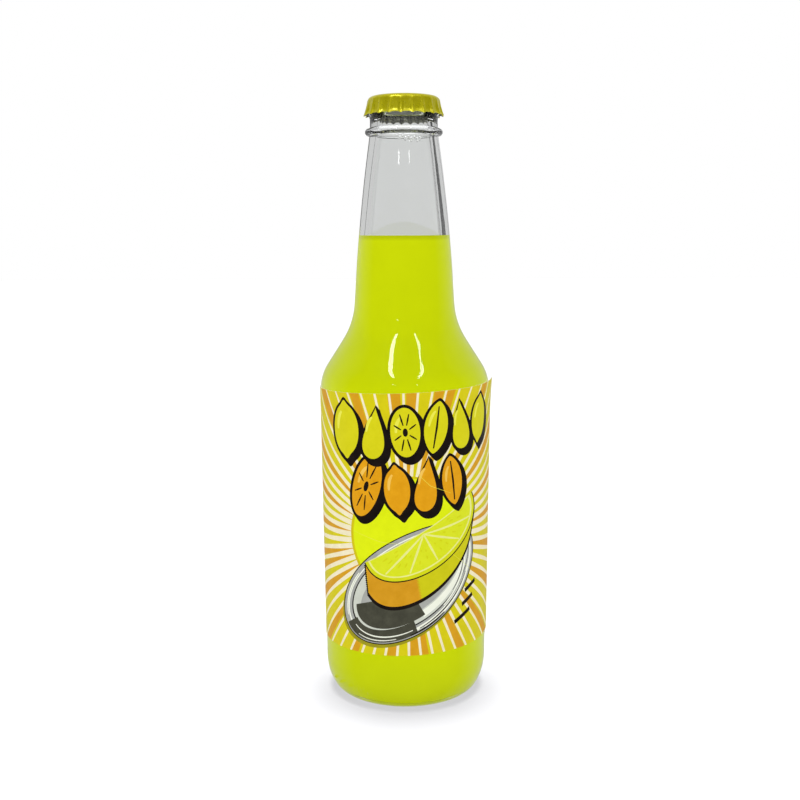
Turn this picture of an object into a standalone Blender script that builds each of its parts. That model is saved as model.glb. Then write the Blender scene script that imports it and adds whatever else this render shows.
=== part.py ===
"""A glass soda bottle with its drink, a paper label wrapped round the body, and a crown closure.

The bottle stands on z = 0 with its axis on Z, and the front of the label faces -Y. Units are metres.
Each sub-part is one object. The crown shell and its liner hang from the empty crown_lift, which
slides up +Z as the closure comes off.
"""

import math

import bmesh
import bpy

MM = 0.001

# Driving dimensions
TOTAL_HEIGHT = 221.0 * MM  # to the top of the crown
GAP = 0.3 * MM  # clearance that neighbouring pieces keep
SEGMENTS = 42  # facets round every turned piece

# Glass: base and body
PUSH_UP = 3.2 * MM  # hollow under the base
BEARING_RADIUS = 23.2 * MM  # middle of the flat ring that the bottle stands on
BEARING_WIDTH = 1.6 * MM
HEEL_LIFT = 10.0  # degrees above flat at which the heel leaves the bearing ring
HEEL_ARC = 5.4 * MM  # the tight lower bend of the heel
HEEL_BREAK = 62.0  # heading in degrees where the tight bend passes into the wide one
HEEL_WIDE_ARC = 21.5 * MM
BODY_LOW_RADIUS = 30.35 * MM  # just above the heel
BODY_TOP_RADIUS = 31.35 * MM  # where the shoulder starts
SHOULDER_Z = 115.2 * MM
SHOULDER_ARC = 16.5 * MM
SHOULDER_SLOPE = 33.0  # degrees off the vertical
SHOULDER_RUN = 11.2 * MM  # straight stretch between the two shoulder arcs
NECK_ROOT_ARC = 28.2 * MM
NECK_LEAN = 3.3  # degrees off the vertical where the neck leaves the shoulder

# Glass: neck and finish
NECK_TOP_RADIUS = 12.5 * MM  # just under the transfer bead
NECK_BULGE = 0.65 * MM
BEAD_RADIUS = 14.05 * MM
BEAD_HEIGHT = 2.6 * MM
BEAD_TOP_Z = 209.6 * MM
THROAT_RADIUS = 12.3 * MM  # between the bead and the locking ring
LOCK_RADIUS = 12.85 * MM
LOCK_Z = 214.4 * MM  # lower edge of the locking ring's upright band
LOCK_BAND = 1.0 * MM
LOCK_FLARE = 1.4 * MM  # height in which the throat widens to the locking ring
LOCK_STEP = 0.5 * MM  # the finish is this much narrower under the lip than at the locking ring
LIP_ARC = 1.7 * MM
BORE_RADIUS = 8.2 * MM
BORE_EDGE = 0.6 * MM

# Glass: thickness
BODY_WALL = 2.1 * MM
NECK_WALL = 2.9 * MM
BASE_THICKNESS = 4.2 * MM

# Drink and label
FILL_Z = 170.5 * MM
LABEL_BOTTOM_Z = 22.0 * MM
LABEL_TOP_Z = 116.5 * MM
PAPER = 0.2 * MM

# Crown closure
CROWN_HEIGHT = 6.9 * MM
CROWN_RADIUS = 14.65 * MM  # over the crests at the hem
CROWN_FLAT_RADIUS = 11.0 * MM
CROWN_DOME = 0.1 * MM
CROWN_CORNER_ARC = 2.4 * MM
CROWN_CORNER_TURN = 70.0  # degrees
FLUTES = 21
FLUTE_DEPTH = 0.8 * MM  # crest to valley at the hem
FLUTE_STEPS = 4  # facets in one flute
SHEET = 0.25 * MM  # steel thickness
LINER_RADIUS = 11.6 * MM
LINER_THICKNESS = 0.8 * MM

CROWN_BASE_Z = TOTAL_HEIGHT - CROWN_HEIGHT
LINER_BOTTOM_Z = TOTAL_HEIGHT - CROWN_DOME - SHEET - GAP - LINER_THICKNESS
FINISH_TOP_Z = LINER_BOTTOM_Z - GAP
FRONT = math.radians(-90)


class Outline:
    """Half the section of a turned piece, as (radius, height) points, drawn by headings.

    Heading 0 runs outwards and 90 degrees runs up. A positive turn bends to the left.
    """

    def __init__(self, radius, height, heading=0.0):
        self.points = [(radius, height)]
        self.heading = math.radians(heading)

    def forward(self, length):
        radius, height = self.points[-1]
        self.points.append(
            (radius + length * math.cos(self.heading), height + length * math.sin(self.heading))
        )

    def turn(self, arc_radius, degrees, steps):
        """A round bend, as chords of equal length whose ends lie on the arc."""
        step = math.radians(degrees) / steps
        chord = 2 * arc_radius * math.sin(abs(step) / 2)
        for _ in range(steps):
            self.heading += step / 2
            self.forward(chord)
            self.heading += step / 2

    def run_to(self, radius, height, bulge=0.0, steps=1):
        """A straight run, or a shallow arc that stands off it by bulge, to the right if positive."""
        start_radius, start_height = self.points[-1]
        across, up = radius - start_radius, height - start_height
        length = math.hypot(across, up)
        direction = math.atan2(up, across)
        half_angle = 2 * math.atan2(2 * bulge, length)
        self.heading = direction - half_angle
        if steps == 1:
            self.points.append((radius, height))
        else:
            arc_radius = length / (2 * math.sin(abs(half_angle)))
            self.turn(arc_radius, math.degrees(2 * half_angle), steps)
        self.heading = direction + half_angle


def offset(points, start_depth, end_depth):
    """The points moved to the left of their path, by a depth that changes evenly with height."""
    low, high = points[0][1], points[-1][1]
    moved = []
    for index, (radius, height) in enumerate(points):
        before = points[max(index - 1, 0)]
        after = points[min(index + 1, len(points) - 1)]
        heading = math.atan2(after[1] - before[1], after[0] - before[0])
        share = (height - low) / (high - low)
        depth = start_depth + (end_depth - start_depth) * share
        moved.append((radius - depth * math.sin(heading), height + depth * math.cos(heading)))
    return moved


def cut_at(points, height):
    """The rising path up to this height."""
    kept = [point for point in points if point[1] < height]
    below, above = kept[-1], points[len(kept)]
    share = (height - below[1]) / (above[1] - below[1])
    kept.append((below[0] + (above[0] - below[0]) * share, height))
    return kept


def glass_sides():
    """The outside of the glass from the bearing ring to the underside of the transfer bead."""
    path = Outline(BEARING_RADIUS + BEARING_WIDTH / 2, 0.0, HEEL_LIFT)
    path.turn(HEEL_ARC, HEEL_BREAK - HEEL_LIFT, 4)
    path.turn(HEEL_WIDE_ARC, 90 - HEEL_BREAK, 4)
    path.run_to(BODY_LOW_RADIUS, path.points[-1][1] + HEEL_ARC / 2)
    path.run_to(BODY_TOP_RADIUS, SHOULDER_Z)
    path.turn(SHOULDER_ARC, SHOULDER_SLOPE, 5)
    path.forward(SHOULDER_RUN)
    path.turn(NECK_ROOT_ARC, NECK_LEAN - SHOULDER_SLOPE, 4)
    path.run_to(NECK_TOP_RADIUS, BEAD_TOP_Z - BEAD_HEIGHT, NECK_BULGE, 4)
    return path.points


def finish_outside():
    """The transfer bead, the throat, the locking ring and the lip, up to the edge of the bore."""
    half = BEAD_HEIGHT / 2
    middle = BEAD_TOP_Z - half
    path = Outline(BEAD_RADIUS - 0.4 * half, middle - 0.8 * half)
    path.run_to(BEAD_RADIUS, middle - 0.3 * half)
    path.run_to(BEAD_RADIUS, middle + 0.3 * half)
    path.run_to(BEAD_RADIUS - 0.4 * half, middle + 0.8 * half)
    path.run_to(THROAT_RADIUS, middle + 1.2 * half)
    path.run_to(THROAT_RADIUS, LOCK_Z - LOCK_FLARE)
    path.run_to(LOCK_RADIUS, LOCK_Z)
    path.run_to(LOCK_RADIUS, LOCK_Z + LOCK_BAND)
    path.run_to(LOCK_RADIUS - LOCK_STEP, FINISH_TOP_Z - LIP_ARC)
    path.heading = math.radians(90)
    path.turn(LIP_ARC, 90, 4)
    path.run_to(BORE_RADIUS + BORE_EDGE, FINISH_TOP_Z)
    path.run_to(BORE_RADIUS, FINISH_TOP_Z - BORE_EDGE)
    return path.points


def glass_inside():
    """The inside of the glass, from the middle of the base up to the foot of the bore."""
    sides = offset(glass_sides()[3:], BODY_WALL, NECK_WALL)
    floor = Outline(0.0, PUSH_UP + BASE_THICKNESS)
    floor.run_to(sides[0][0], sides[0][1], PUSH_UP / 2, 4)
    return floor.points[:-1] + sides


def turned(name, points, segments=SEGMENTS):
    """A closed mesh turned from a half section that starts and ends on the axis, or is a closed loop."""
    mesh = bpy.data.meshes.new(name)
    shape = bmesh.new()
    verts = [shape.verts.new((radius, 0.0, height)) for radius, height in points]
    edges = [shape.edges.new(pair) for pair in zip(verts, verts[1:])]
    if points[0][0] > 0:
        edges.append(shape.edges.new((verts[-1], verts[0])))
    bmesh.ops.spin(
        shape,
        geom=verts + edges,
        cent=(0, 0, 0),
        axis=(0, 0, 1),
        angle=2 * math.pi,
        steps=segments,
        use_merge=True,
    )
    bmesh.ops.remove_doubles(shape, verts=shape.verts[:], dist=1e-6)
    bmesh.ops.recalc_face_normals(shape, faces=shape.faces[:])
    shape.to_mesh(mesh)
    shape.free()
    return mesh


def press_flutes(mesh):
    """Corrugates the skirt: crests and valleys that grow from the corner down to the hem."""
    corner_z = CROWN_HEIGHT - CROWN_CORNER_ARC
    crest = FRONT - 2 * math.pi / FLUTES / FLUTE_STEPS
    for vertex in mesh.vertices:
        share = (corner_z - vertex.co.z) / corner_z
        if share > 0:
            angle = math.atan2(vertex.co.y, vertex.co.x) - crest
            push = FLUTE_DEPTH / 2 * share * math.cos(FLUTES * angle)
            scale = 1 + push / math.hypot(vertex.co.x, vertex.co.y)
            vertex.co.x *= scale
            vertex.co.y *= scale


def finish_material(name, color, roughness, metallic=0.0, transmission=0.0):
    material = bpy.data.materials.new(name)
    material.use_nodes = True
    material.diffuse_color = (*color, 1.0)
    shader = material.node_tree.nodes["Principled BSDF"]
    shader.inputs["Base Color"].default_value = (*color, 1.0)
    shader.inputs["Roughness"].default_value = roughness
    shader.inputs["Metallic"].default_value = metallic
    shader.inputs["Transmission Weight"].default_value = transmission
    return material


def place(mesh, material, parent=None):
    """An object for this mesh, named after it, smooth where its faces meet at a shallow angle."""
    piece = bpy.data.objects.new(mesh.name, mesh)
    bpy.context.scene.collection.objects.link(piece)
    mesh.materials.append(material)
    mesh.shade_smooth()
    mesh.set_sharp_from_angle(angle=math.radians(35))
    piece.parent = parent
    return piece


def glass_bottle():
    underside = Outline(0.0, PUSH_UP)
    underside.run_to(BEARING_RADIUS - BEARING_WIDTH / 2, 0.0, -PUSH_UP / 5, 3)
    section = underside.points + glass_sides() + finish_outside() + glass_inside()[::-1]
    glass = finish_material("clear_glass", (0.93, 0.95, 0.94), 0.03, transmission=1.0)
    return place(turned("glass_bottle", section), glass)


def soda():
    """The drink: it fills the inside, less the clearance, up to the fill line."""
    inside = glass_inside()
    wet = cut_at(offset(inside, GAP, GAP), FILL_Z)
    wet[0] = (0.0, inside[0][1] + GAP)
    wet.append((0.0, FILL_Z))
    drink = finish_material("citrus_soda", (0.72, 0.83, 0.02), 0.15)
    return place(turned("soda", wet), drink)


def label():
    """The paper band round the body, with the clearance under it."""
    taper = (BODY_TOP_RADIUS - BODY_LOW_RADIUS) / (LABEL_TOP_Z - LABEL_BOTTOM_Z)
    inner_low = BODY_LOW_RADIUS + GAP
    inner_top = inner_low + taper * (LABEL_TOP_Z - LABEL_BOTTOM_Z)
    band = [
        (inner_low, LABEL_BOTTOM_Z),
        (inner_low + PAPER, LABEL_BOTTOM_Z),
        (inner_top + PAPER, LABEL_TOP_Z),
        (inner_top, LABEL_TOP_Z),
    ]
    paper = finish_material("label_paper", (0.78, 0.70, 0.03), 0.45)
    return place(turned("label", band), paper)


def crown_shell(parent):
    path = Outline(0.0, CROWN_HEIGHT)
    path.run_to(CROWN_FLAT_RADIUS, CROWN_HEIGHT - CROWN_DOME)
    path.turn(CROWN_CORNER_ARC, -CROWN_CORNER_TURN, 4)
    path.run_to(CROWN_RADIUS - FLUTE_DEPTH / 2, 0.0, 0.0)
    skin = path.points
    inner = offset(skin, -SHEET, -SHEET)
    inner[0] = (0.0, CROWN_HEIGHT - SHEET)
    inner[-1] = (inner[-1][0], 0.0)
    mesh = turned("crown_shell", skin + inner[::-1], SEGMENTS * 2)
    press_flutes(mesh)
    steel = finish_material("lacquered_steel", (0.55, 0.50, 0.03), 0.28, metallic=0.6)
    return place(mesh, steel, parent)


def crown_liner(parent):
    """The sealing disc: a thin web with a thicker rim over the lip."""
    bottom = LINER_BOTTOM_Z - CROWN_BASE_Z
    top = bottom + LINER_THICKNESS
    web = LINER_THICKNESS / 2
    disc = [
        (0.0, bottom + web),
        (BORE_RADIUS - 2 * web, bottom + web),
        (BORE_RADIUS, bottom),
        (LINER_RADIUS - web, bottom),
        (LINER_RADIUS, bottom + web),
        (LINER_RADIUS - web, top),
        (0.0, top),
    ]
    compound = finish_material("liner_compound", (0.82, 0.83, 0.80), 0.5)
    return place(turned("crown_liner", disc), compound, parent)


def clear_scene():
    for thing in list(bpy.data.objects):
        bpy.data.objects.remove(thing)


def build():
    clear_scene()
    lift = bpy.data.objects.new("crown_lift", None)
    bpy.context.scene.collection.objects.link(lift)
    lift.location = (0.0, 0.0, CROWN_BASE_Z)
    glass_bottle()
    soda()
    label()
    crown_shell(lift)
    crown_liner(lift)


build()
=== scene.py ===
"""The looks of the glass soda bottle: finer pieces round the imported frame, their materials, the light and
the camera. Lengths are in metres, except the label's, which are in millimetres on its flat sheet."""

import math

import bpy
import numpy as np
from mathutils import Euler, Matrix, Vector, noise
from mathutils.geometry import delaunay_2d_cdt


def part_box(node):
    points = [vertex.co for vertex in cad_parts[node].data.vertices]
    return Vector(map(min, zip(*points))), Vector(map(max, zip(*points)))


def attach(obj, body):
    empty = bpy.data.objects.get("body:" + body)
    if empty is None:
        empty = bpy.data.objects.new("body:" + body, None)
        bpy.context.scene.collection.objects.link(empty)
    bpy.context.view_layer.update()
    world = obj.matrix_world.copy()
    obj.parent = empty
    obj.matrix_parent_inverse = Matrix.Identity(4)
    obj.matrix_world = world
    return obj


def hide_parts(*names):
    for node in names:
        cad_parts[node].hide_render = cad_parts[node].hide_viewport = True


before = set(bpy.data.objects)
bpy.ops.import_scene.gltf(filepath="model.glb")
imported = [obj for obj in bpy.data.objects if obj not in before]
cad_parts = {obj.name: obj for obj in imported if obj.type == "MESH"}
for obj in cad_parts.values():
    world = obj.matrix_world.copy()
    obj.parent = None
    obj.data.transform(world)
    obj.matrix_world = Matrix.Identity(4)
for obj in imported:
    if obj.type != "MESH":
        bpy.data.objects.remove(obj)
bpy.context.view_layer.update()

MM = 0.001

# Glass
ROUND_STEPS = 192
CORNER_TURN = 32.0
PROFILE_PITCH = 1.1 * MM
WALL_WAVE = 0.16 * MM
WALL_WAVE_LENGTH = 30 * MM
WALL_SEED = 9.1
SKIN_WAVE = 0.025 * MM
SKIN_WAVE_LENGTH = 34 * MM
SKIN_SEED = 3.7
SEAM_ANGLES = (-78.0, 102.0)
SEAM_HEIGHT = 0.10 * MM
SEAM_HALF_WIDTH = 0.38 * MM
BASE_NOTCHES = 48
BASE_NOTCH_DEPTH = 0.16 * MM
MARK_PITCH = 0.28 * MM
GLASS_IOR = 1.5

# Drink
WETTING = 0.06 * MM
MENISCUS = 0.9 * MM
MENISCUS_REACH = 2.2 * MM
BUBBLES = 26

# Label: thickness and gap in metres, the rest in millimetres on the flat sheet
PAPER = 0.16 * MM
LABEL_GAP = 0.12 * MM
SLEEVE_GAP = 0.3 * MM
PRINT_RADIUS = 31.2
LABEL_END = 51.5
LABEL_OVERLAP = 7.0
LABEL_BOTTOM = 22.0
LABEL_TOP = 117.4
SKEW_TOP = 0.033
SKEW_BOTTOM = 0.021
SKEW_REACH = 60.0
WRAP_STEP = 1.6
WRAP_ROWS = 12
BACK_CENTRE = -97.5
SUN = (0.4, 66.4)
SUN_TURN = -1.0
RAYS = 64
RAY_PITCH = 360 / RAYS

# Crown
FLUTES = 21
FLUTE_STEPS = 14
CREST_ANGLE = -4.29
CREST_SHARPNESS = 3.0
CROWN_FLAT = 11.0 * MM
CROWN_CREST = 14.65 * MM
CROWN_DOME = 0.10 * MM
CROWN_SHOULDER = 2.3 * MM
SHOULDER_SWEEP = 70
FLUTE_DEPTH = 0.95 * MM
FLUTE_START = 1.0 * MM
FLARE_HEIGHT = 1.7 * MM
SCALLOP = 0.45 * MM
SCALLOP_HEIGHT = 1.4 * MM
SHEET = 0.25 * MM

# Light: the world's strength for diffuse rays and for rays that went through glass
SKY = 0.80
SEEN_THROUGH = 0.62
GLINT_DISTANCE = 0.6
GLINT_HEIGHT = 0.401
GLINT_AIM = (0, 0, 0.1977)

# Camera: its place, its focal length in millimetres, and its pitch and roll in degrees
CAMERA_PLACE = (0, -0.4075, 0.1709)
LENS = 49.41
SENSOR = 36
SHIFT = -0.0061
PITCH = 8.44
ROLL = -0.22


def srgb(red, green, blue):
    """A colour given in 0 to 255 display values, as linear RGBA."""
    linear = []
    for value in (red, green, blue):
        value = max(value, 0) / 255
        linear.append(value / 12.92 if value <= 0.04045 else ((value + 0.055) / 1.055) ** 2.4)
    return (*linear, 1.0)


# ---------------------------------------------------------------- meshes


def mesh_object(name, vertices, faces, materials, face_materials=None, sharp=38):
    """A smooth-shaded mesh object, with edges sharper than the angle kept crisp."""
    mesh = bpy.data.meshes.new(name)
    mesh.from_pydata([tuple(v) for v in vertices], [], faces)
    for material in materials:
        mesh.materials.append(material)
    if face_materials is not None:
        mesh.polygons.foreach_set("material_index", face_materials)
    mesh.polygons.foreach_set("use_smooth", [True] * len(mesh.polygons))
    mesh.update()
    mesh.set_sharp_from_angle(angle=math.radians(sharp))
    mesh.validate()
    obj = bpy.data.objects.new(name, mesh)
    bpy.context.collection.objects.link(obj)
    return obj


def meridian(node):
    """The outline of a turned CAD node in the half-plane through +X, as (radius, height) points from its
    lowest point on the axis."""
    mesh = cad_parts[node].data
    place = {}
    for vertex in mesh.vertices:
        if abs(vertex.co.y) < 1e-6 and vertex.co.x > -1e-6:
            place[vertex.index] = (round(vertex.co.x, 6), round(vertex.co.z, 6))
    links = {}
    for edge in mesh.edges:
        a, b = (place.get(index) for index in edge.vertices)
        if a and b and a != b:
            links.setdefault(a, set()).add(b)
            links.setdefault(b, set()).add(a)
    here = min((point for point in links if point[0] < 1e-6), key=lambda point: point[1])
    path = [here]
    while True:
        onward = [point for point in links[here] if point not in path]
        if not onward:
            return path
        here = onward[0]
        path.append(here)


def rounded(points, pitch=PROFILE_PITCH):
    """A finer outline through the points: a smooth curve, except at real corners."""
    points = [Vector(p) for p in points]
    ways = [b - a for a, b in zip(points, points[1:])]
    leaving, arriving = [], []
    for i in range(len(points)):
        before = ways[i - 1] if i else ways[0]
        after = ways[i] if i < len(ways) else ways[-1]
        turn = math.degrees(before.angle(after, 0))
        if turn > CORNER_TURN:
            arriving.append(before.normalized())
            leaving.append(after.normalized())
        else:
            arriving.append((before + after).normalized())
            leaving.append(arriving[-1])
    fine = [points[0]]
    for i, way in enumerate(ways):
        steps = max(2, math.ceil(way.length / pitch))
        for k in range(1, steps + 1):
            t = k / steps
            fine.append(
                points[i] * (2 * t**3 - 3 * t**2 + 1)
                + leaving[i] * way.length * (t**3 - 2 * t**2 + t)
                + points[i + 1] * (3 * t**2 - 2 * t**3)
                + arriving[i + 1] * way.length * (t**3 - t**2)
            )
    return [(max(p.x, 0.0), p.y) for p in fine]


def turned(name, outline, angles, materials, push=None, sharp=38):
    """Turns an outline of (radius, height) round +Z. Angles are in degrees from the front, positive
    towards +X. push(angles, radii, heights) gives the change of radius and height over the grid."""
    grid_angle = np.radians(np.array(angles))[None, :]
    radii = np.array([p[0] for p in outline])[:, None] + 0 * grid_angle
    heights = np.array([p[1] for p in outline])[:, None] + 0 * grid_angle
    if push:
        more_radius, more_height = push(np.degrees(grid_angle) + 0 * radii, radii, heights)
        radii = np.where(radii > 1e-9, radii + more_radius, radii)
        heights = heights + more_height
    x, y = radii * np.sin(grid_angle), -radii * np.cos(grid_angle)
    vertices, index = [], np.zeros(radii.shape, int)
    for row in range(radii.shape[0]):
        if radii[row, 0] <= 1e-9:
            index[row, :] = len(vertices)
            vertices.append((0.0, 0.0, float(heights[row, 0])))
            continue
        index[row, :] = range(len(vertices), len(vertices) + radii.shape[1])
        vertices.extend(zip(x[row], y[row], heights[row]))
    faces = []
    for row in range(radii.shape[0] - 1):
        low, high = index[row], index[row + 1]
        for a in range(radii.shape[1]):
            b = (a + 1) % radii.shape[1]
            corners = [low[a], low[b], high[b], high[a]]
            face = [int(c) for i, c in enumerate(corners) if c != corners[i - 1]]
            if len(face) > 2:
                faces.append(face)
    return mesh_object(name, vertices, faces, materials, sharp=sharp)


def spread(steps, fine=()):
    """Angles right round in degrees, with a finer pitch inside each (from, to, pitch) range."""
    angles = {round(360 * k / steps - 180, 4) for k in range(steps)}
    for start, stop, pitch in fine:
        angles = {a for a in angles if not start < a < stop}
        angles |= {round(a, 4) for a in np.arange(start, stop + pitch / 2, pitch)}
    return sorted(angles)


def wave(angles, heights, scale, seed):
    """Smooth noise over a turned surface, from -1 to 1."""
    flat = np.empty(angles.size)
    for i, (angle, height) in enumerate(zip(np.radians(angles.ravel()), heights.ravel())):
        flat[i] = noise.noise(
            Vector((math.sin(angle) * 1.6 + seed, math.cos(angle) * 1.6, height / scale + seed))
        )
    return flat.reshape(angles.shape)


def bump_of(distance):
    """A smooth bump, 1 at no distance and 0 from a distance of 1."""
    inside = np.clip(1 - distance**2, 0, 1)
    return inside * inside


# ---------------------------------------------------------------- materials


class Shader:
    """A Principled material with short ways to add noise, ramps and bump."""

    def __init__(self, name, **values):
        self.material = bpy.data.materials.new(name)
        self.material.use_nodes = True
        self.tree = self.material.node_tree
        self.surface = self.tree.nodes["Principled BSDF"]
        for socket, value in values.items():
            self.surface.inputs[socket.replace("_", " ")].default_value = value
        self.place = self.tree.nodes.new("ShaderNodeTexCoord").outputs["Object"]

    def node(self, kind, links=None, **values):
        made = self.tree.nodes.new(kind)
        for key, value in values.items():
            setattr(made, key, value)
        for key, value in (links or {}).items():
            if isinstance(value, bpy.types.NodeSocket):
                self.tree.links.new(value, made.inputs[key])
            else:
                made.inputs[key].default_value = value
        return made

    def stretched(self, scale):
        return self.node("ShaderNodeMapping", {"Vector": self.place, "Scale": scale}).outputs["Vector"]

    def noise(self, scale, detail=3.0, roughness=0.55, where=None):
        made = self.node(
            "ShaderNodeTexNoise",
            {"Vector": where or self.place, "Scale": scale, "Detail": detail, "Roughness": roughness},
        )
        return made.outputs["Fac"]

    def ramp(self, factor, stops):
        made = self.node("ShaderNodeValToRGB", {"Fac": factor})
        ramp = made.color_ramp
        while len(ramp.elements) < len(stops):
            ramp.elements.new(0.5)
        for element, (position, colour) in zip(ramp.elements, stops):
            element.position = position
            element.color = colour
        return made.outputs["Color"]

    def range(self, factor, low, high, start=0.3, stop=0.7):
        links = {"Value": factor, "From Min": start, "From Max": stop, "To Min": low, "To Max": high}
        return self.node("ShaderNodeMapRange", links).outputs["Result"]

    def mixed(self, factor, first, second):
        made = self.node("ShaderNodeMix", data_type="RGBA")
        for socket, value in ((made.inputs[0], factor), (made.inputs[6], first), (made.inputs[7], second)):
            if isinstance(value, bpy.types.NodeSocket):
                self.tree.links.new(value, socket)
            else:
                socket.default_value = value
        return made.outputs[2]

    def bumps(self, *layers):
        """Each layer is (height socket, strength, distance in metres)."""
        normal = None
        for height, strength, distance in layers:
            links = {"Height": height, "Strength": strength, "Distance": distance}
            if normal:
                links["Normal"] = normal
            normal = self.node("ShaderNodeBump", links).outputs["Normal"]
        self.set("Normal", normal)

    def set(self, socket, value):
        self.tree.links.new(value, self.surface.inputs[socket])


def glass_material():
    made = Shader(
        "clear_glass",
        Base_Color=(0.985, 0.995, 0.988, 1),
        Roughness=0.0,
        IOR=GLASS_IOR,
        Transmission_Weight=1.0,
    )
    made.bumps((made.noise(70, 2.0), 0.10, 0.4 * MM), (made.noise(420, 2.0), 0.04, 0.1 * MM))
    return made.material


def drink_material():
    made = Shader("citrus_soda", Roughness=0.30, IOR=1.34, Specular_IOR_Level=0.05)
    # Painted light: the drink is given a faint glow of its own, which brightens it and flattens its
    # shading.
    made.surface.inputs["Emission Color"].default_value = (0.160, 0.190, 0.0, 1)
    made.surface.inputs["Emission Strength"].default_value = 1.0
    cloud = made.noise(28, 4.0, 0.6)
    body = made.ramp(cloud, [(0.3, (0.430, 0.500, 0.0004, 1)), (0.7, (0.475, 0.545, 0.0008, 1))])
    height = made.node("ShaderNodeSeparateXYZ", {0: made.place}).outputs["Z"]
    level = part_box("soda")[1].z
    # Painted shade: the drink is darker in a band at its surface and meniscus.
    rim = made.range(height, 0.0, 0.75, level - 1.1 * MM, level + 0.1 * MM)
    # Painted shade: the drink darkens towards the bottom.
    lower = made.range(height, 0.8, 0.0, 3 * MM, 24 * MM)
    body = made.mixed(lower, body, (0.375, 0.430, 0.006, 1))
    made.set("Base Color", made.mixed(rim, body, (0.30, 0.34, 0.002, 1)))
    made.bumps((made.noise(160, 2.0), 0.05, 0.2 * MM))
    return made.material


def ink_material(name, colour, other, gloss=0.42):
    """Printed paper: a mottled ink film over fibres, slightly glossy."""
    made = Shader(f"ink_{name}", IOR=1.45, Specular_IOR_Level=0.12)
    film = made.noise(260, 5.0, 0.65)
    made.set("Base Color", made.ramp(film, [(0.32, colour), (0.68, other)]))
    made.set("Roughness", made.range(made.noise(900, 3.0), gloss - 0.07, gloss + 0.08))
    fibres = made.noise(1.0, 4.0, 0.6, made.stretched((1500, 1500, 5200)))
    made.bumps((fibres, 0.12, 0.05 * MM), (made.noise(95, 2.0), 0.12, 0.25 * MM))
    return made.material


def crown_material():
    made = Shader("lacquered_steel", Metallic=0.5, IOR=1.5, Coat_Weight=0.22, Coat_Roughness=0.10)
    film = made.noise(120, 4.0, 0.6)
    lacquer = made.ramp(film, [(0.3, srgb(198, 190, 0)), (0.7, srgb(212, 205, 2))])
    # Sharp edges and crests are made a paler yellow.
    edge = made.node("ShaderNodeNewGeometry").outputs["Pointiness"]
    paler_edges = made.range(edge, 0.0, 0.55, 0.53, 0.60)
    made.set("Base Color", made.mixed(paler_edges, lacquer, srgb(240, 236, 120)))
    made.set("Roughness", made.range(made.noise(700, 4.0), 0.24, 0.40))
    made.bumps((made.noise(260, 3.0), 0.10, 0.12 * MM), (made.noise(1900, 2.0), 0.06, 0.03 * MM))
    return made.material


def tinplate_and_shade_material():
    # Bare tinplate inside the skirt, painted darker than its own grey as painted shade: the glass casts no
    # shadow, so the shade inside the cap is painted into this colour.
    made = Shader("tinplate_and_shade", Metallic=1.0)
    film = made.noise(300, 4.0, 0.6)
    made.set("Base Color", made.ramp(film, [(0.3, srgb(92, 92, 80)), (0.7, srgb(108, 108, 94))]))
    made.set("Roughness", made.range(made.noise(900, 3.0), 0.26, 0.42))
    made.bumps((made.noise(1200, 2.0), 0.08, 0.04 * MM))
    return made.material


def liner_and_shade_material():
    # A grey liner compound, darkened further as painted shade: the glass casts no shadow, so the shade
    # under the crown is painted into its colour.
    made = Shader("liner_compound", IOR=1.45)
    film = made.noise(240, 4.0, 0.6)
    made.set("Base Color", made.ramp(film, [(0.3, srgb(104, 106, 98)), (0.7, srgb(122, 124, 114))]))
    made.set("Roughness", made.range(made.noise(600, 3.0), 0.42, 0.56))
    made.bumps((made.noise(900, 3.0), 0.15, 0.05 * MM))
    return made.material


def bubble_material():
    made = Shader("bubble_film", Base_Color=(0.97, 1.0, 0.80, 1), IOR=1.2, Transmission_Weight=1.0)
    made.surface.inputs["Roughness"].default_value = 0.0
    made.bumps((made.noise(900, 1.0), 0.05, 0.05 * MM))
    return made.material


# ---------------------------------------------------------------- glass and drink


def mould_marks():
    """Small raised marks left by the mould: (angle, height, half width, half height, rise, lean)."""
    marks = []
    for k in range(13):
        lean = 0.9 if k % 3 else -0.6
        marks.append((-62.0 + 3.1 * k, 7.4 + 0.9 * math.sin(2.1 * k) - 0.05 * k, 0.46, 1.05, 0.60, lean))
    for k in range(9):
        marks.append((-11.0 + 4.6 * k, 206.3 - 0.45 * (k % 2) - 0.10 * k, 0.46, 0.55, 0.42, 0.5))
    for k in range(24):
        marks.append((15.0 * k - 172.5, 4.9, 0.45, 0.45, 0.12, 0.0))
    return marks


def wall_shift(angles, heights, height_of_wave, wave_length, seed):
    """An uneven wall, true at the base and at the finish."""
    fade = np.clip((205 * MM - heights) / (12 * MM), 0, 1)
    free = np.clip((heights - 6 * MM) / (5 * MM), 0, 1)
    return height_of_wave * wave(angles, heights, wave_length, seed) * fade * free


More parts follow.
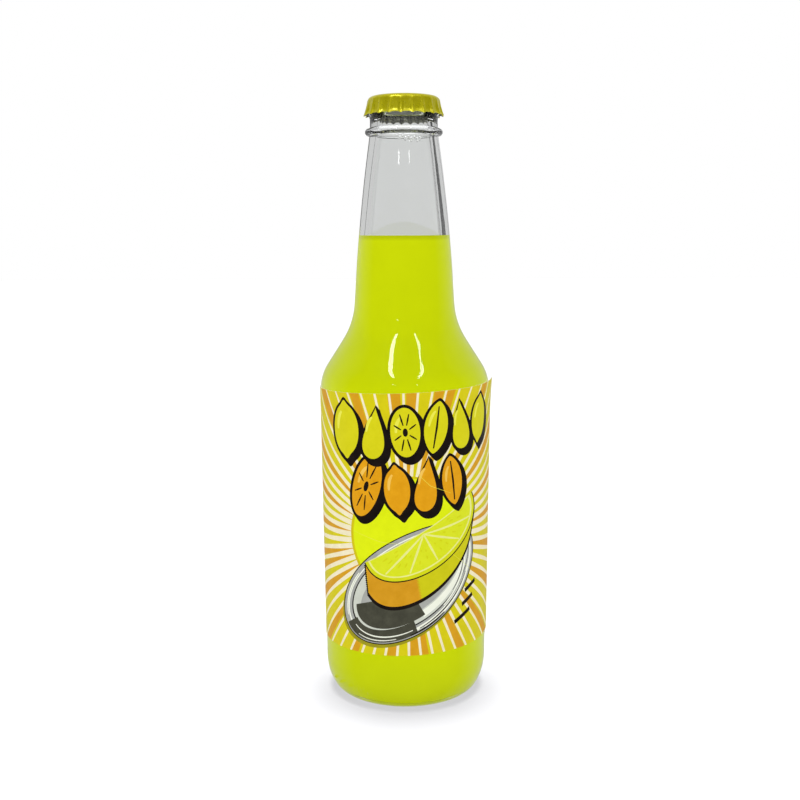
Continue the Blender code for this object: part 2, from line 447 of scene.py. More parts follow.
def glass_push(split):
    """The change of radius and height over the glass grid; rows before split are the outer skin."""
    marks = mould_marks()

    def push(angles, radii, heights):
        outside = (np.arange(radii.shape[0]) < split)[:, None] & np.ones(radii.shape, bool)
        skin = wall_shift(angles, heights, SKIN_WAVE, SKIN_WAVE_LENGTH, SKIN_SEED)
        wall = wall_shift(angles, heights, WALL_WAVE, WALL_WAVE_LENGTH, WALL_SEED)
        more = np.where(outside, skin, wall)
        below_label = np.clip((20 * MM - heights) / (1.5 * MM), 0, 1)
        above_label = np.clip((heights - 121 * MM) / (2 * MM), 0, 1)
        bare = (below_label + above_label) * np.clip((heights - 1.2 * MM) / (1.5 * MM), 0, 1)
        for seam in SEAM_ANGLES:
            away = np.radians(np.abs((angles - seam + 180) % 360 - 180)) * radii
            more = more + np.where(outside, SEAM_HEIGHT * bare * bump_of(away / SEAM_HALF_WIDTH), 0)
        for angle, height, half_width, half_height, rise, lean in marks:
            along = np.radians((angles - angle + 180) % 360 - 180) * radii / MM
            up = heights / MM - height
            reach = np.hypot((along - lean * up * 0.5) / half_width, up / half_height)
            more = more + np.where(outside, rise * MM * bump_of(reach), 0)
        on_ring = outside & (heights < 0.05 * MM)
        notch = BASE_NOTCH_DEPTH * (0.5 + 0.5 * np.cos(np.radians(angles) * BASE_NOTCHES))
        return more, np.where(on_ring, notch, 0)

    return push


def glass_outline():
    """The glass outline from the CAD node, finer, and the row where its inner side starts."""
    fine = [(radius, max(height, 0.0)) for radius, height in rounded(meridian("glass_bottle"))]
    return fine, max(range(len(fine)), key=lambda i: fine[i][1])


def make_glass():
    fine, split = glass_outline()
    outer = []
    for row, (radius, height) in enumerate(fine[:split]):
        outer.append((radius, height))
        next_radius, next_height = fine[row + 1]
        marked = 3.5 * MM < height < 10 * MM or 204 * MM < height < 207.6 * MM
        if marked and next_height - height > 0.2 * MM:
            steps = math.ceil((next_height - height) / MARK_PITCH)
            for k in range(1, steps):
                t = k / steps
                outer.append((radius + (next_radius - radius) * t, height + (next_height - height) * t))
    ranges = [(seam - 3, seam + 3, 0.3) for seam in SEAM_ANGLES]
    ranges += [(-65, -20, 0.5), (-16, 33, 0.8)]
    angles = spread(ROUND_STEPS, ranges)
    push = glass_push(len(outer))
    glass = turned("bottle_glass", outer + fine[split:], angles, [glass_material()], push, sharp=60)
    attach(glass, "bottle")
    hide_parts("glass_bottle")
    glass.visible_shadow = False
    glass.visible_diffuse = False
    return fine[split:]


def make_drink(inner):
    """The drink wets the wall, so its side lies just inside the glass, and its surface climbs the wall."""
    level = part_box("soda")[1].z
    side = [Vector(p) for p in reversed(inner)]
    low = []
    for i, point in enumerate(side):
        before, after = side[max(i - 1, 0)], side[min(i + 1, len(side) - 1)]
        along = (after - before).normalized()
        outward = Vector((along.y, -along.x))
        moved = point + outward * WETTING
        if i == 0:
            moved = Vector((0, point.y - WETTING))
        if moved.y > level + MENISCUS:
            break
        low.append((max(moved.x, 0.0), moved.y))
    rim = low[-1]
    edge = (rim[0] + (low[-1][0] - low[-2][0]) * 0.2, level + MENISCUS)
    outline = [*low, edge]
    for k in range(1, 15):
        inward = MENISCUS_REACH * 2.4 * (k / 14) ** 1.5
        climb = MENISCUS * math.exp(-3.2 * inward / MENISCUS_REACH)
        outline.append((edge[0] - inward, level + climb))
    outline += [(edge[0] * 0.35, level), (0.0, level)]

    def push(angles, radii, heights):
        return wall_shift(angles, heights, WALL_WAVE, WALL_WAVE_LENGTH, WALL_SEED), 0 * heights

    drink = turned("soda_fill", outline, spread(128), [drink_material()], push, sharp=50)
    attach(drink, "bottle")
    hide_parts("soda")
    drink.visible_diffuse = False
    return edge[0], level


def make_bubbles(radius, level):
    """Bubbles resting at the edge of the drink: flattened domes, each with a rim."""
    vertices, faces = [], []
    rows, columns = 9, 16
    rng = np.random.default_rng(21)
    places = [(23.0, 0.85)]
    for _ in range(BUBBLES):
        places.append((float(rng.uniform(-180, 180)), float(rng.uniform(0.22, 0.6))))
    for angle, size in places:
        size *= MM
        away = radius - size * 0.9 - float(rng.uniform(0, 0.5)) * MM
        way = math.radians(angle)
        centre = Vector((away * math.sin(way), -away * math.cos(way), level))
        centre.z += 0.35 * MM * math.exp(-(radius - away) / MM)
        start = len(vertices)
        for row in range(rows):
            tilt = math.radians(-50 + 140 * row / (rows - 1))
            flare = 1 + 0.10 * max(0.0, -math.sin(tilt))
            reach = math.cos(tilt) * flare * size
            rise = Vector((0, 0, math.sin(tilt) * size * 0.82))
            for column in range(columns):
                turn = 2 * math.pi * column / columns
                vertices.append(centre + Vector((math.cos(turn), math.sin(turn), 0)) * reach + rise)
        for row in range(rows - 1):
            for column in range(columns):
                onward = (column + 1) % columns
                a, b = start + row * columns, start + (row + 1) * columns
                faces.append([a + column, a + onward, b + onward, b + column])
        faces.append([start + c for c in reversed(range(columns))])
        faces.append([start + (rows - 1) * columns + c for c in range(columns)])
    bubbles = mesh_object("soda_bubbles", vertices, faces, [bubble_material()])
    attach(bubbles, "bottle")
    bubbles.visible_shadow = False


# ---------------------------------------------------------------- label art


def turn_all(points, centre, degrees):
    sine, cosine = math.sin(math.radians(degrees)), math.cos(math.radians(degrees))
    return [(centre[0] + x * cosine - y * sine, centre[1] + x * sine + y * cosine) for x, y in points]


def oval(centre, half_width, half_height, lean=0.0, steps=56, start=0.0, sweep=360.0):
    closed = sweep >= 360
    count = steps if closed else steps + 1
    turns = [math.radians(start + sweep * k / steps) for k in range(count)]
    return turn_all([(half_width * math.cos(t), half_height * math.sin(t)) for t in turns], centre, lean)


def drop(centre, half_width, half_height, lean=0.0, steps=44):
    """A drop with its point at the top."""
    points = []
    for k in range(steps):
        t = 2 * math.pi * k / steps
        taper = math.sin(t / 2) ** 1.5
        points.append((half_width * 1.28 * math.sin(t) * taper, half_height * math.cos(t)))
    return turn_all(points, centre, lean)


def lemon(centre, half_width, half_height, lean=0.0, steps=56):
    """A whole fruit standing on end, with a small knob at each end."""
    points = []
    for k in range(steps):
        t = 2 * math.pi * k / steps
        knob = 0.14 * abs(math.cos(t)) ** 44
        points.append((half_width * math.sin(t), half_height * math.cos(t) * (0.86 + knob)))
    return turn_all(points, centre, lean)


def leaf(centre, half_width, half_height, lean=0.0, steps=40):
    points = []
    for k in range(steps):
        t = 2 * math.pi * k / steps
        points.append((half_width * math.sin(t) * abs(math.sin(t)) ** 0.45, half_height * math.cos(t)))
    return turn_all(points, centre, lean)


def rectangle(left, right, low, high):
    return [(left, low), (right, low), (right, high), (left, high)]


def shifted(points, right, up):
    return [(x + right, y + up) for x, y in points]


def stroke(points, width):
    """A tapered line along the points, as one polygon."""
    left, right = [], []
    for i, (x, y) in enumerate(points):
        ax, ay = points[max(i - 1, 0)]
        bx, by = points[min(i + 1, len(points) - 1)]
        length = math.hypot(bx - ax, by - ay)
        nx, ny = -(by - ay) / length, (bx - ax) / length
        share = i / (len(points) - 1)
        half = width / 2 * (0.35 + 0.65 * math.sin(math.pi * (0.12 + 0.76 * share)))
        left.append((x + nx * half, y + ny * half))
        right.append((x - nx * half, y - ny * half))
    return left + right[::-1]


class Art:
    """Layers of ink, painted in order."""

    def __init__(self):
        self.layers = []

    def paint(self, ink, points):
        self.layers.append((ink, points))

    def stand_out(self, shape, centre, half_width, half_height, lean, fill, outline=1.1):
        """A shape with a thick black outline and a black drop shadow to the lower right."""
        around = shape(centre, half_width + outline, half_height + outline, lean)
        for k in range(5, 0, -1):
            self.paint("black", shifted(around, 0.30 * k, -0.34 * k))
        self.paint("black", around)
        self.paint(fill, shape(centre, half_width, half_height, lean))


def ray(angle, near, far, near_width, far_width):
    """A ray of the sunburst, from the sun's centre outwards. Angle is in degrees from straight up."""
    way = (math.sin(math.radians(angle)), math.cos(math.radians(angle)))
    side = (way[1], -way[0])
    corners = []
    for distance, width in ((near, -near_width), (far, -far_width), (far, far_width), (near, near_width)):
        corners.append(tuple(SUN[i] + way[i] * distance + side[i] * width / 2 for i in (0, 1)))
    return corners


def paint_sunburst(art):
    rng = np.random.default_rng(5)
    for k in range(RAYS):
        if k % 3 == 0 or k in (2, 31, 44):
            centre = SUN_TURN + RAY_PITCH * (k + 0.5 + float(rng.uniform(-0.18, 0.18)))
            half = math.tan(math.radians(RAY_PITCH * float(rng.uniform(0.30, 0.46))))
            art.paint("orange", ray(centre, 12, 130, 12 * half * 2, 130 * half * 2))
    for k in range(RAYS):
        angle = SUN_TURN + RAY_PITCH * k
        sideways = abs(math.sin(math.radians(angle)))
        width = 1.05 + 0.75 * sideways**3
        art.paint("white", ray(angle, 12, 60, width + 0.35, width * 0.62))
        if sideways > 0.5:
            art.paint("white", ray(angle, 60, 130, width * 0.62, width * 0.45))


def paint_dish(art):
    """A plain oval dish of polished metal, with its dark inside at the lower left."""
    centre, lean = (1.6, 48.0), 33.0

    def ring(long, short, right=0.0, up=0.0, start=0.0, sweep=360.0, steps=90):
        return oval((centre[0] + right, centre[1] + up), long, short, lean, steps, start, sweep)

    for k in range(5):
        art.paint("olive", ring(30.2, 17.6, 0.1 - 0.2 * k, -0.4 - 0.22 * k))
    art.paint("black", ring(30.2, 17.6))
    art.paint("steel", ring(29.8, 17.2))
    art.paint("pale", ring(28.2, 15.9, 0.5, 0.2))
    art.paint("steel", ring(27.4, 15.1, 0.3, 0.5))
    art.paint("black", ring(26.4, 14.3, 0.6, 0.7))
    art.paint("silver", ring(26.0, 13.9, 0.8, 0.9))
    art.paint("pale", ring(24.6, 12.6, 1.2, 0.6, 262, 92) + ring(23.0, 10.2, 1.2, 0.6, 354, -92))
    art.paint("steel", ring(22.6, 10.2, 0.9, 1.0))
    lower = ring(29.4, 16.8, 0, 0, 178, 78, 34) + ring(24.2, 12.0, 0, 0, 256, -78, 34)
    art.paint("dark", lower)
    art.paint("dark", ring(24.6, 12.6, 0.9, 1.0, 160, 104, 40) + [(2.0, 46.0)])
    for start, sweep, size, width in (
        (262, 74, 0.96, 1.0),
        (284, 50, 0.86, 0.7),
        (186, 66, 0.90, 0.5),
        (198, 40, 0.965, 0.4),
        (120, 50, 0.955, 0.6),
    ):
        art.paint("pale", stroke(ring(29.4 * size, 16.8 * size, 0, 0, start, sweep, 26), width))
    for start, sweep, size, width in ((258, 60, 0.93, 0.5), (250, 30, 0.985, 0.7), (300, 46, 0.82, 0.4)):
        art.paint("black", stroke(ring(29.4 * size, 16.8 * size, 0, 0, start, sweep, 26), width))


def paint_fruit(art):
    """A thick wedge of citrus lying across the dish: the cut face, its pith and segments, and the rind."""
    centre, lean = (6.0, 67.6), 28.5
    long, short = 24.0, 14.5
    layers, drop_by = 14, 0.78

    def moon(inset=0.0, start=0.0, stop=math.pi, steps=44):
        points = []
        for t in np.linspace(start, stop, steps):
            points.append(((long - inset) * math.cos(t), -(short - inset) * abs(math.sin(t)) ** 0.8))
        return points

    def lower(points, k):
        """The shape k layers down the side of the wedge, which is deeper at its near end."""
        placed = turn_all(points, centre, lean + 0.55 * k)
        return shifted(placed, -0.05 * k, -drop_by * k * 0.74)

    for k in range(layers + 1, 0, -1):
        art.paint("black", lower(moon(-0.7), k))
    for k in range(layers, 0, -1):
        art.paint("side", lower(moon(), k))
    for k in range(layers, 0, -1):
        art.paint("rind", lower(moon(0.0, 1.95), k))
    art.paint("black", lower(moon(-0.45), 0))
    art.paint("zest", lower(moon(), 0))
    art.paint("pith", lower(moon(1.3), 0))
    art.paint("flesh", shifted(lower(moon(2.2), 0), 0, -0.4))
    hub = (0.0, -1.0)
    count = 6
    rng = np.random.default_rng(11)
    for k in range(1, 3 * count):
        t = math.pi * k / (3 * count)
        end = ((long - 2.2) * math.cos(t), -(short - 2.2) * math.sin(t) ** 0.8)
        if k % 3 == 0:
            middle = ((hub[0] + end[0]) / 2, (hub[1] + end[1]) / 2)
            art.paint("pith", stroke(turn_all([hub, middle, end], centre, lean), 0.8))
            continue
        for share in (0.50, 0.72):
            share += float(rng.uniform(-0.05, 0.05))
            near = (end[0] * share, end[1] * share)
            pulp = [near, (near[0] * 1.07, near[1] * 1.07 - 0.05), (near[0] * 1.14, near[1] * 1.14)]
            art.paint("zest", stroke(turn_all(pulp, centre, lean), 0.6))


def paint_row(art, items, start, baseline, rise, fill):
    """A row of bold fruit shapes on a rising baseline."""
    right = start
    for shape, half_width, half_height, lean in items:
        right += half_width + 0.7
        centre = (right, baseline + rise * (right - start) + half_height)
        art.stand_out(shape, centre, half_width, half_height, lean, fill)
        light = "glow" if fill == "gold" else "glow_orange"
        highlight = oval(centre, half_width * 0.62, half_height * 0.66, lean, 12, 112, 66)
        art.paint(light, stroke(highlight, half_width * 0.24))
        if shape is oval:
            art.paint("black", oval(centre, half_width * 0.17, half_height * 0.17, lean, 20))
            for k in range(8):
                t = math.radians(45 * k + 20)
                rim = (half_width * math.cos(t), half_height * math.sin(t))
                spoke = [(rim[0] * share, rim[1] * share) for share in (0.30, 0.55, 0.80)]
                art.paint("black", stroke(turn_all(spoke, centre, lean), 0.62))
        if shape is leaf:
            rib = turn_all([(0, -half_height * 0.8), (0.2, 0), (0, half_height * 0.8)], centre, lean)
            art.paint("black", stroke(rib, 0.8))
        right += half_width + 0.7


def paint_back(art):
    """The far side: a pale ruled panel with plain bars, and nothing to read."""
    left, right, low, high = BACK_CENTRE - 19, BACK_CENTRE + 19, 32, 106
    art.paint("black", rectangle(left - 0.5, right + 0.5, low - 0.5, high + 0.5))
    art.paint("paper_white", rectangle(left, right, low, high))
    art.paint("black", rectangle(left + 2, right - 2, high - 8, high - 6.4))
    level = high - 12
    for k in range(15):
        width = 30 if k % 4 == 0 else 22 - 3 * (k % 3)
        art.paint("dark", rectangle(left + 2, left + 2 + width * 0.7, level - 1.0, level))
        if k % 4:
            art.paint("dark", rectangle(right - 7, right - 2, level - 1.0, level))
        art.paint("dark", rectangle(left + 2, right - 2, level - 2.3, level - 2.08))
        level -= 3.9


def label_art(left, right, low, high):
    art = Art()
    art.paint("yellow", rectangle(left, right, low, high))
    paint_sunburst(art)
    art.paint("ochre", oval(SUN, 21.6, 21.6, 0, 96))
    art.paint("sun", oval((SUN[0] + 0.35, SUN[1] - 0.1), 20.8, 20.9, 0, 96))
    paint_dish(art)
    paint_fruit(art)
    lower_row = [
        (oval, 5.4, 11.4, -16),
        (lemon, 4.6, 9.2, 6),
        (drop, 4.5, 9.6, -4),
        (leaf, 4.2, 9.0, 8),
    ]
    upper_row = [
        (lemon, 5.9, 10.6, 4),
        (drop, 4.6, 9.2, -5),
        (oval, 5.2, 8.8, 5),
        (leaf, 4.4, 9.3, -8),
        (drop, 4.3, 8.7, 6),
        (lemon, 4.5, 8.9, -7),
    ]
    paint_row(art, lower_row, -20.4, 72.2, 0.10, "amber")
    paint_row(art, upper_row, -29.6, 93.2, 0.055, "gold")
    for k, (right_edge, width) in enumerate(((30.0, 6.6), (28.4, 6.4), (26.8, 8.6))):
        height = 45.6 - 5.0 * k
        bar = [(-width, -0.75), (0, -0.75), (0.3, 0.75), (-width + 0.3, 0.75)]
        art.paint("black", turn_all(bar, (right_edge, height), 24))
    for scratch in (
        [(-20, 67.5), (-9, 64.2), (-1, 63.4)],
        [(4, 89), (9, 84), (17, 80.5)],
        [(-27, 84), (-22, 79)],
        [(18, 58), (27, 50.5)],
    ):
        art.paint("glow", stroke(scratch, 0.14))
    paint_back(art)
    return art


INKS = {
    "yellow": (srgb(210, 199, 4), srgb(218, 206, 10), 0.44),
    "orange": (srgb(211, 152, 14), srgb(218, 162, 28), 0.44),
    "white": (srgb(238, 228, 190), srgb(245, 236, 202), 0.46),
    "paper_white": (srgb(240, 238, 226), srgb(247, 245, 236), 0.5),
    "ochre": (srgb(206, 190, 0), srgb(214, 198, 4), 0.42),
    "sun": (srgb(219, 233, 0), srgb(226, 240, 4), 0.40),
    "black": (srgb(22, 16, 14), srgb(34, 26, 22), 0.36),
    "gold": (srgb(212, 206, 8), srgb(219, 213, 18), 0.40),
    "glow": (srgb(232, 230, 70), srgb(236, 234, 88), 0.40),
    "amber": (srgb(220, 152, 2), srgb(230, 164, 16), 0.40),
    "glow_orange": (srgb(240, 190, 74), srgb(243, 198, 92), 0.40),
    "steel": (srgb(160, 162, 156), srgb(172, 174, 168), 0.38),
    "silver": (srgb(198, 202, 190), srgb(210, 214, 200), 0.38),
    "pale": (srgb(236, 239, 220), srgb(243, 245, 230), 0.38),
    "dark": (srgb(66, 66, 54), srgb(80, 80, 66), 0.38),
    "olive": (srgb(150, 142, 20), srgb(166, 158, 30), 0.42),
    "rind": (srgb(206, 146, 16), srgb(216, 156, 28), 0.40),
    "side": (srgb(200, 196, 6), srgb(208, 203, 14), 0.40),
    "zest": (srgb(208, 212, 8), srgb(215, 219, 18), 0.40),
    "pith": (srgb(230, 233, 130), srgb(234, 237, 146), 0.40),
    "flesh": (srgb(214, 224, 24), srgb(220, 229, 36), 0.38),
    "paper": (srgb(232, 228, 214), srgb(240, 237, 226), 0.62),
}


def printed_sheet(left, right, low, high):
    """The flat label as triangles: points, faces and the ink of each face. Each layer must be a shape that
    doesn't cross itself, and the top layer over a triangle gives its ink."""
    art = label_art(left, right, low, high)
    points, faces, edges, painted = [], [], [], []
    for ink, shape in art.layers:
        clipped = clip(shape, left, right, low, high)
        if len(clipped) < 3:
            continue
        if signed_area(clipped) < 0:
            clipped = clipped[::-1]
        painted.append(ink)
        faces.append(list(range(len(points), len(points) + len(clipped))))
        points.extend(Vector(p) for p in clipped)
    columns = math.ceil((right - left) / WRAP_STEP)
    for k in range(1, columns):
        u = left + (right - left) * k / columns
        edges.append((len(points), len(points) + 1))
        points.extend((Vector((u, low)), Vector((u, high))))
    for k in range(1, WRAP_ROWS):
        v = low + (high - low) * k / WRAP_ROWS
        edges.append((len(points), len(points) + 1))
        points.extend((Vector((left, v)), Vector((right, v))))
    out_points, _, out_faces, _, _, origins = delaunay_2d_cdt(points, edges, faces, 1, 1e-5, True)
    names = list(INKS)
    inks, triangles = [], []
    for face, source in zip(out_faces, origins):
        if source:
            inks.append(names.index(painted[max(source)]))
            triangles.append(list(face))
    return out_points, triangles, inks


def signed_area(shape):
    """Positive for a polygon that runs anticlockwise."""
    return sum(a[0] * b[1] - b[0] * a[1] for a, b in zip(shape, shape[1:] + shape[:1])) / 2


def clip(shape, left, right, low, high):
    """The part of a polygon inside a rectangle."""
    tests = (
        (lambda p: p[0] - left, left, 0),
        (lambda p: right - p[0], right, 0),
        (lambda p: p[1] - low, low, 1),
        (lambda p: high - p[1], high, 1),
    )
    for inside, bound, axis in tests:
        kept = []
        for i, here in enumerate(shape):
            before = shape[i - 1]
            a, b = inside(before), inside(here)
            if (a >= 0) != (b >= 0):
                t = a / (a - b)
                cross = [before[0] + (here[0] - before[0]) * t, before[1] + (here[1] - before[1]) * t]
                cross[axis] = bound
                kept.append(tuple(cross))
            if b >= 0:
                kept.append(here)
        shape = kept
        if not shape:
            break
    return shape


def make_label():
    (low_radius, low_height), (high_radius, high_height) = sleeve_sides("label")
    widening = (high_radius - low_radius) / (high_height - low_height)
    start = LABEL_END - 2 * math.pi * PRINT_RADIUS - LABEL_OVERLAP
    flat, triangles, inks = printed_sheet(start, LABEL_END, LABEL_BOTTOM, LABEL_TOP)

    def place(u, v, lift):
        """A point of the flat sheet on the bottle: a little askew, lapped over its start, one corner up."""
        share = (v - LABEL_BOTTOM) / (LABEL_TOP - LABEL_BOTTOM)
        skew = SKEW_BOTTOM + (SKEW_TOP - SKEW_BOTTOM) * share
        height = v + skew * SKEW_REACH * math.tanh(u / SKEW_REACH)
        lap = min(max((u - (LABEL_END - LABEL_OVERLAP - 3)) / 4, 0), 1)
        lap = lap * lap * (3 - 2 * lap)
        near_end = max(0.0, (u - LABEL_END + 9) / 9) ** 2
        near_top = max(0.0, (v - 96) / (LABEL_TOP - 96)) ** 2
        corner = near_end * (0.25 + 0.75 * near_top)
        ripple = 0.05 * noise.noise(Vector((u * 0.05, v * 0.07, 4.0)))
        radius = low_radius + widening * (height * MM - low_height)
        radius += lift + (lap * 0.24 + corner * 1.1 + ripple) * MM
        angle = u / PRINT_RADIUS
        return (radius * math.sin(angle), -radius * math.cos(angle), height * MM)

    count = len(flat)
    vertices = [place(p.x, p.y, lift) for lift in (LABEL_GAP + PAPER, LABEL_GAP) for p in flat]
    paper = list(INKS).index("paper")
    faces = [list(face) for face in triangles] + [[i + count for i in reversed(face)] for face in triangles]
    materials = inks + [paper] * len(triangles)
    uses = {}
    for face in triangles:
        for a, b in zip(face, face[1:] + face[:1]):
            uses.setdefault((min(a, b), max(a, b)), []).append((a, b))
    for ways in uses.values():
        if len(ways) == 1:
            a, b = ways[0]
            faces.append([b, a, a + count, b + count])
            materials.append(paper)
    made = mesh_object(
        "label_sheet",
        vertices,
        faces,
        [ink_material(name, *values) for name, values in INKS.items()],
        materials,
        sharp=50,
    )
    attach(made, "bottle")
    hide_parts("label")
    made.visible_diffuse = False


def sleeve_sides(node):
    """The radius of the glass at the bottom and top of a CAD sleeve, from the sleeve's inner side."""
    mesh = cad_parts[node].data
    low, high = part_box(node)
    ends = []
    for height in (low.z, high.z):
        radii = [math.hypot(v.co.x, v.co.y) for v in mesh.vertices if abs(v.co.z - height) < 1e-6]
        ends.append((min(radii) - SLEEVE_GAP, height))
    return ends


# ---------------------------------------------------------------- crown


def make_crown():
    low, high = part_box("crown_shell")
    top, bottom = high.z, low.z
    profile = []
    for k in range(9):
        profile.append((CROWN_FLAT * k / 8, top - CROWN_DOME * (k / 8) ** 2))
    sweep = math.radians(SHOULDER_SWEEP)
    for k in range(1, 11):
        t = sweep * k / 10
        drop_down = CROWN_DOME + CROWN_SHOULDER * (1 - math.cos(t))
        profile.append((CROWN_FLAT + CROWN_SHOULDER * math.sin(t), top - drop_down))
    start_radius, start_height = profile[-1]
    for k in range(1, 13):
        t = k / 12
        radius = start_radius + (CROWN_CREST - start_radius) * (0.55 * t + 0.45 * t**2)
        profile.append((radius, start_height + (bottom - start_height) * t))
    ways = [Vector(b) - Vector(a) for a, b in zip(profile, profile[1:])]
    under = []
    for i, (radius, height) in enumerate(profile):
        way = ways[min(i, len(ways) - 1)] + ways[max(i - 1, 0)]
        inward = Vector((way.y, -way.x)).normalized() * SHEET
        under.append((max(radius + inward.x, 0.0) if i else 0.0, height + inward.y))
    lip = [((profile[-1][0] + under[-1][0]) / 2 + 0.04 * MM, bottom - 0.03 * MM)]
    outline = profile + lip + under[::-1]

    def push(angles, radii, heights):
        phase = np.radians((angles - CREST_ANGLE) * FLUTES)
        crest = (0.5 + 0.5 * np.cos(phase)) ** CREST_SHARPNESS
        share = np.clip((top - FLUTE_START - heights) / (top - bottom - FLUTE_START), 0, 1) ** 0.8
        flare = np.clip((bottom + FLARE_HEIGHT - heights) / FLARE_HEIGHT, 0, 1) ** 2
        edge = np.clip((bottom + SCALLOP_HEIGHT - heights) / SCALLOP_HEIGHT, 0, 1)
        return -FLUTE_DEPTH * share * (1 - 0.35 * flare) * (1 - crest), SCALLOP * edge * (1 - crest)

    steps = FLUTES * FLUTE_STEPS
    angles = [360 * k / steps - 180 for k in range(steps)]
    shell = turned("crown_cap", outline, angles, [crown_material()], push, sharp=70)
    shell.data.materials.append(tinplate_and_shade_material())
    # The inner side of the cap takes the tinplate with painted shade.
    inside = [int(index // steps > len(profile)) for index in range(len(shell.data.polygons))]
    shell.data.polygons.foreach_set("material_index", inside)
    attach(shell, "crown")
    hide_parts("crown_shell")


def make_liner():
    low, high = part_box("crown_liner")
    bottom, top, edge = low.z, high.z, high.x
    web = bottom + 0.32 * MM
    outline = [(0.0, web)]
    for centre, half, rise in ((4.2, 0.5, 0.10), (6.4, 0.5, 0.12), (9.4, 1.15, 0.32)):
        for k in range(9):
            t = -1 + 2 * k / 8
            outline.append(((centre + half * t) * MM, web - rise * MM * (1 - t * t)))
    outline += [
        (edge - 0.6 * MM, web - 0.02 * MM),
        (edge - 0.15 * MM, web + 0.06 * MM),
        (edge, web + 0.22 * MM),
        (edge - 0.02 * MM, top - 0.05 * MM),
        (edge - 0.12 * MM, top),
        (0.0, top),
    ]
    liner = turned("crown_seal", outline, spread(120), [liner_and_shade_material()], sharp=50)
    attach(liner, "crown")
    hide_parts("crown_liner")


# ---------------------------------------------------------------- stage, light and camera


def stage_plane(name, size, location, rotation, material):
    half_x, half_y = size[0] / 2, size[1] / 2
    corners = [(-half_x, -half_y, 0), (half_x, -half_y, 0), (half_x, half_y, 0), (-half_x, half_y, 0)]
    plane = mesh_object(name, corners, [[0, 1, 2, 3]], [material])
    plane.location = location
    plane.rotation_euler = [math.radians(a) for a in rotation]
    return plane


def make_floor():
    made = Shader("floor_board", Roughness=0.9)
    made.surface.inputs["Specular IOR Level"].default_value = 0.1
    tones = [(0.3, (0.750, 0.750, 0.762, 1)), (0.7, (0.770, 0.770, 0.782, 1))]
    made.set("Base Color", made.ramp(made.noise(30, 3.0), tones))
    floor = stage_plane("floor", (8, 8), (0, 0, 0), (0, 0, 0), made.material)
    floor.visible_glossy = False


def make_card(name, size, azimuth, distance, height, shade):
    """A card that is seen only through the glass. Azimuth is from the back, positive to the right."""
    made = Shader(name, Base_Color=(0, 0, 0, 1), Roughness=1.0)
    made.surface.inputs["Specular IOR Level"].default_value = 0.0
    made.surface.inputs["Emission Color"].default_value = (shade, shade, shade, 1)
    made.surface.inputs["Emission Strength"].default_value = 1.0
    turn = math.radians(azimuth)
    location = (distance * math.sin(turn), distance * math.cos(turn), height)
    card = stage_plane(name, size, location, (90, 0, -azimuth), made.material)
    card.visible_camera = False
    card.visible_diffuse = False
    card.visible_glossy = False
    card.visible_shadow = False


def make_light(name, kind, power, location, target, size, glossy=True, angle=None):
    data = bpy.data.lights.new(name, kind)
    data.energy = power
    if kind == "AREA":
        data.shape = "RECTANGLE"
        data.size, data.size_y = size
    if angle:
        data.angle = math.radians(angle)
    light = bpy.data.objects.new(name, data)
    bpy.context.collection.objects.link(light)
    light.location = location
    light.rotation_mode = "QUATERNION"
    light.rotation_quaternion = (Vector(target) - Vector(location)).to_track_quat("-Z", "Y")
    light.visible_glossy = glossy
    light.visible_transmission = glossy
    return light


def make_world():
    """A white world whose strength depends on the kind of ray. Reflections see it dark at the front."""
    world = bpy.data.worlds.new("studio")
    bpy.context.scene.world = world
    world.use_nodes = True
    tree = world.node_tree
    background = tree.nodes["Background"]
    path = tree.nodes.new("ShaderNodeLightPath")
    way = tree.nodes.new("ShaderNodeSeparateXYZ")
    tree.links.new(tree.nodes.new("ShaderNodeTexCoord").outputs["Generated"], way.inputs[0])
    behind = tree.nodes.new("ShaderNodeMapRange")
    for socket, value in (("From Min", -0.15), ("From Max", 0.75), ("To Min", 0.012), ("To Max", 0.55)):
        behind.inputs[socket].default_value = value
    tree.links.new(way.outputs["Y"], behind.inputs["Value"])
    seen = None
    for ray_kind, level in (
        ("Is Glossy Ray", behind.outputs["Result"]),
        ("Is Transmission Ray", SEEN_THROUGH),
        ("Is Diffuse Ray", SKY),
        ("Is Camera Ray", 1.0),
    ):
        mix = tree.nodes.new("ShaderNodeMix")
        mix.data_type = "FLOAT"
        tree.links.new(path.outputs[ray_kind], mix.inputs[0])
        for socket, value in ((2, seen or SEEN_THROUGH), (3, level)):
            if isinstance(value, float):
                mix.inputs[socket].default_value = value
            else:
                tree.links.new(value, mix.inputs[socket])
        seen = mix.outputs[0]
    tree.links.new(seen, background.inputs["Strength"])
    background.inputs["Color"].default_value = (1, 1, 1, 1)
    world.cycles.sampling_method = "NONE"


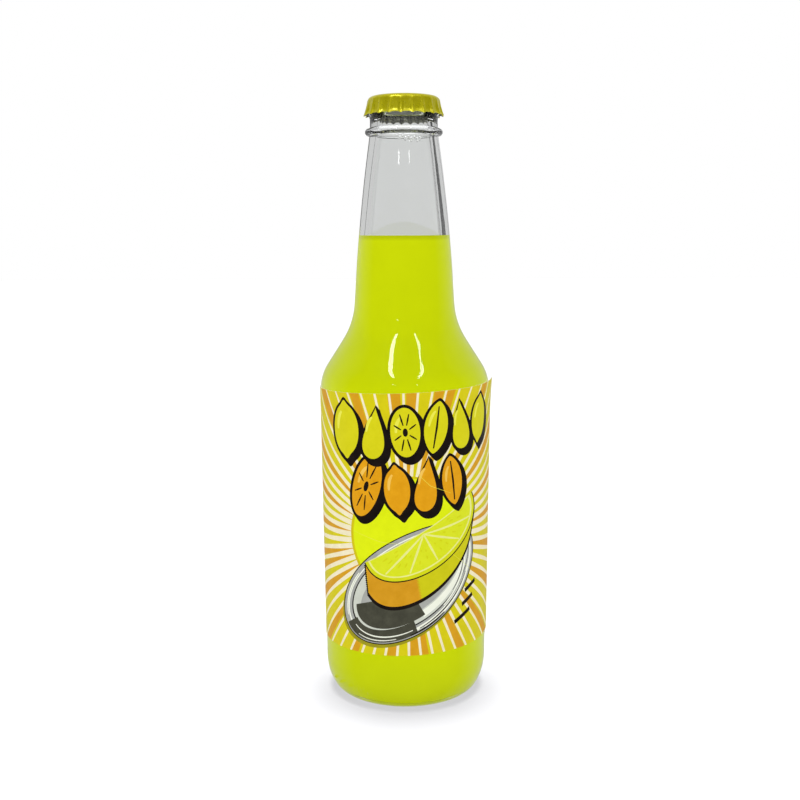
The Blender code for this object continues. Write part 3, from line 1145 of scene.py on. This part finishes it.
def light_scene():
    for name, power, angle, piece in (
        ("overhead", 2.2, 16, "floor"),
        ("overhead_soft", 2.0, 40, "crown_cap"),
    ):
        light = make_light(name, "SUN", power, (0, 0.06, 1), (0, 0, 0), None, glossy=False, angle=angle)
        link_to(light, piece)
    make_light("front_fill", "AREA", 1.2, (-0.35, -1.2, 0.45), (0, 0, 0.10), (0.9, 0.7), glossy=False)
    for name, azimuth, size, radiance in (
        ("window_left", -15.7, (0.043, 0.020), 9.0),
        ("window_right", 16.3, (0.034, 0.019), 8.0),
    ):
        turn = math.radians(azimuth)
        place = (GLINT_DISTANCE * math.sin(turn), -GLINT_DISTANCE * math.cos(turn), GLINT_HEIGHT)
        make_glint(name, place, GLINT_AIM, size, radiance)
    make_glint("tube_left", (-0.34, -0.60, 1.13), (0.06, -0.60, 0.13), (0.80, 0.10), 12.0)
    make_glint("tube_right", (0.42, -0.79, 1.13), (0.02, -0.79, 0.13), (0.48, 0.08), 10.0)
    crown_box = make_glint("crown_box", (0, -0.45, 1.4), (0, 0, 0.22), (1.6, 0.7), 1.1)
    link_to(crown_box, "crown_cap")


def link_to(light, piece):
    """Lets a light reach one piece only."""
    lit = bpy.data.collections.new(f"lit_by_{light.name}")
    lit.objects.link(bpy.data.objects[piece])
    light.light_linking.receiver_collection = lit


def make_glint(name, location, target, size, radiance):
    """A light that only reflections see, given by its radiance."""
    glint = make_light(name, "AREA", radiance * math.pi * size[0] * size[1], location, target, size)
    glint.visible_diffuse = False
    glint.visible_transmission = False
    return glint


def make_camera():
    scene = bpy.context.scene
    data = bpy.data.cameras.new("camera")
    camera = bpy.data.objects.new("camera", data)
    bpy.context.collection.objects.link(camera)
    data.sensor_width = SENSOR
    data.lens = LENS
    data.shift_x = SHIFT
    data.clip_start, data.clip_end = 0.01, 20
    pitch = Euler((math.radians(90 - PITCH), 0, 0)).to_matrix()
    tilt = pitch @ Matrix.Rotation(math.radians(ROLL), 3, "Z")
    camera.matrix_world = Matrix.Translation(CAMERA_PLACE) @ tilt.to_4x4()
    scene.camera = camera
    scene.view_settings.view_transform = "Standard"
    scene.view_settings.look = "None"


inner_side = make_glass()
edge_radius, fill_level = make_drink(inner_side)
make_bubbles(edge_radius, fill_level)
make_label()
make_crown()
make_liner()
make_floor()
make_card("card_right", (0.24, 0.9), 40, 0.9, 0.2, 0.08)
make_world()
light_scene()
make_camera()
